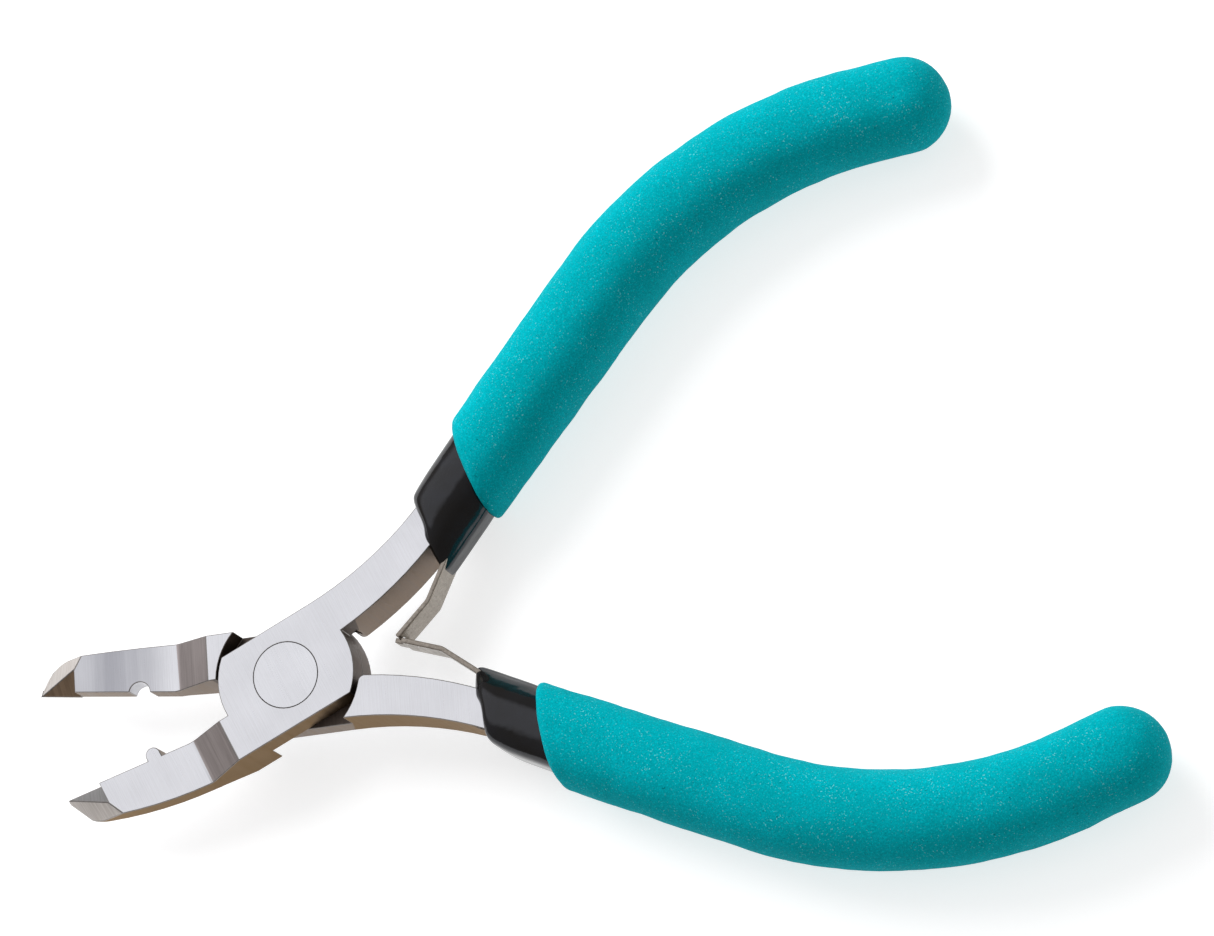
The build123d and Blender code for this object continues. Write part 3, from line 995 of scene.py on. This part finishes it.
foam = Nodes("teal_foam")
even = foam.coordinates()
drift = foam.noise(even, DRIFT_SCALE, 3, 0.5)
cells = foam.noise(even, CELL_SCALE, 3, 0.7)
flecks = foam.noise(even, FLECK_SCALE, 2, 0.6)
patches = foam.noise(even, PATCH_SCALE, 3, 0.6)
pores = foam.noise(even, PORE_SCALE, 2, 0.5)
base = foam.ramp(drift, [(0.3, TEAL_DEEP), (0.7, TEAL)])
grainy = foam.mix(foam.spread(cells, 0.0, 1.0, 0.36, 0.66), GRAIN_DARK, base)
grainy = foam.mix(foam.spread(cells, 0.0, 0.6, 0.56, 0.74), grainy, GRAIN_LIGHT)
fleck_here = foam.spread(flecks, 0.0, 0.8, 0.61, 0.73)
fleck_patch = foam.spread(patches, 0.2, 1.0, 0.42, 0.66)
frosted = foam.mix(foam.math("MULTIPLY", fleck_here, fleck_patch), grainy, FLECK)
pitted = foam.mix(foam.spread(pores, 0.7, 0.0, 0.26, 0.32), frosted, PORE)
foam_shader = foam.principled({"Roughness": 0.85, "Specular IOR Level": 0.03})
foam.join(pitted, foam_shader.inputs["Base Color"])
foam.join(foam.bump(cells, 0.00006, 0.6), foam_shader.inputs["Normal"])
print("foam finish nodes:", len(foam.tree.nodes))

# %% Two grips from one path
RING_WELD = 1e-6             # metres


def close_grip(work):
    weld(work, RING_WELD)
    face_outwards(work)


for side, placed, body in SIDES:
    curve = bpy.data.curves.new(f"{side}_handle_path", "CURVE")
    curve.dimensions = "3D"
    spline = curve.splines.new("POLY")
    spline.points.add(len(path_points) - 1)
    for point, (x, y, z, share) in zip(spline.points, path_points):
        point.co = (x, y, z, 1)
        point.radius = share
    path = new_object(f"{side}_handle_path", curve)
    sweep = path.modifiers.new("sweep", "NODES")
    sweep.node_group = sweep_tree
    for item in sweep_tree.interface.items_tree:
        if item.name == "Material":
            sweep[item.identifier] = foam.material
    grip = new_object(f"{side}_foam_tube", evaluated_mesh(path, f"{side}_foam_tube"))
    bpy.data.objects.remove(path)
    grip.data.transform(placed)
    reshape(grip.data, close_grip)
    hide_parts(f"{side}_foam_grip")
    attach(grip, body)
    print(grip.name, "faces:", len(grip.data.polygons))

# %% [markdown]
# ## Floor, light and camera
# The tool lies on a plain white table.  Polished flat steel shows whatever it mirrors, so the
# light matters as much as the finish: one wide soft glow stands above and behind the tool, and
# the rest of the room is dim, so that faces that look up turn almost white while the ramps of
# the jaws stay dark.  A soft key from the same side rounds the grips, and a weak fill lifts
# their shaded side.  Both lamps are left out of reflections, because a lamp mirrored in the
# steel or the vinyl would show as a hard round spot.

# %% Floor
FLOOR_HALF = 3.0
FLOOR_GAP = 0.0002           # metres below the lowest point of the tool

low = min(cad_box[0][2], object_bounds()[0][2])
floor = new_object("floor", bpy.data.meshes.new("floor"))


def lay_floor(work):
    bmesh.ops.create_grid(work, x_segments=1, y_segments=1, size=FLOOR_HALF)
    work.transform(Matrix.Translation((0, 0, low - FLOOR_GAP)))


reshape(floor.data, lay_floor)
table = Nodes("white_table")
table.principled({
    "Base Color": (0.5, 0.5, 0.5, 1),
    "Roughness": 0.9,
    "Specular IOR Level": 0.0,
    "Emission Color": (1, 1, 1, 1),
    "Emission Strength": 0.68,
})
floor.data.materials.append(table.material)
print("floor height, mm:", round(low / MM, 2))

# %% Sky with one wide glow
GLOW_FROM = Vector((-0.35, 0.45, 0.82)).normalized()
ROOM_DARK = (0.19, 0.18, 0.175)
ROOM_PALE = (0.26, 0.25, 0.245)
GLOW = (0.97, 0.97, 1.0)
SKY_STOPS = [(0.0, ROOM_DARK), (0.78, ROOM_PALE), (0.89, GLOW), (1.0, GLOW)]

world = bpy.data.worlds.new("studio")
bpy.context.scene.world = world
world.use_nodes = True
sky = world.node_tree
sky.nodes.clear()
direction = sky.nodes.new("ShaderNodeTexCoord")
toward = sky.nodes.new("ShaderNodeVectorMath")
toward.operation = "DOT_PRODUCT"
toward.inputs[1].default_value = GLOW_FROM
glow = sky.nodes.new("ShaderNodeValToRGB")
back = sky.nodes.new("ShaderNodeBackground")
out = sky.nodes.new("ShaderNodeOutputWorld")
sky.links.new(direction.outputs["Generated"], toward.inputs[0])
sky.links.new(toward.outputs["Value"], glow.inputs["Fac"])
sky.links.new(glow.outputs["Color"], back.inputs["Color"])
sky.links.new(back.outputs[0], out.inputs["Surface"])
set_stops(glow.color_ramp, SKY_STOPS)
back.inputs["Strength"].default_value = 1.0
print("sky stops:", len(SKY_STOPS))

# %% Lamps
TOOL_MIDDLE = Vector((0.04, 0, 0))


def soft_lamp(name, place, size, power):
    """A round soft box that looks at the tool and that polished faces don't mirror."""
    light = bpy.data.lights.new(name, "AREA")
    light.shape = "DISK"
    light.size = size
    light.energy = power
    lamp = bpy.data.objects.new(name, light)
    lamp.location = place
    lamp.rotation_euler = (TOOL_MIDDLE - lamp.location).to_track_quat("-Z", "Y").to_euler()
    lamp.visible_glossy = False
    bpy.context.scene.collection.objects.link(lamp)


soft_lamp("soft_key", (-0.25, 0.60, 0.50), size=0.7, power=8.0)
soft_lamp("weak_fill", (0.50, -0.10, 0.60), size=0.8, power=1.0)
print("lamps:", len(bpy.data.lights))

# %% Camera
SENSOR_WIDTH = 36.0
FOCAL_LENGTH = 134.14
NEAREST_SEEN = 0.01
CAMERA_PLACE = (0.13075, -0.15438, 0.4990)
CAMERA_TURN = (0.25572, 0.25906, -0.28945)

lens = bpy.data.cameras.new("camera")
lens.sensor_width = SENSOR_WIDTH
lens.lens = FOCAL_LENGTH
lens.clip_start = NEAREST_SEEN
camera = bpy.data.objects.new("camera", lens)
camera.location = CAMERA_PLACE
camera.rotation_euler = CAMERA_TURN
bpy.context.scene.collection.objects.link(camera)
bpy.context.scene.camera = camera
bpy.context.scene.view_settings.view_transform = "Standard"
print("camera at", [round(v, 3) for v in camera.location])
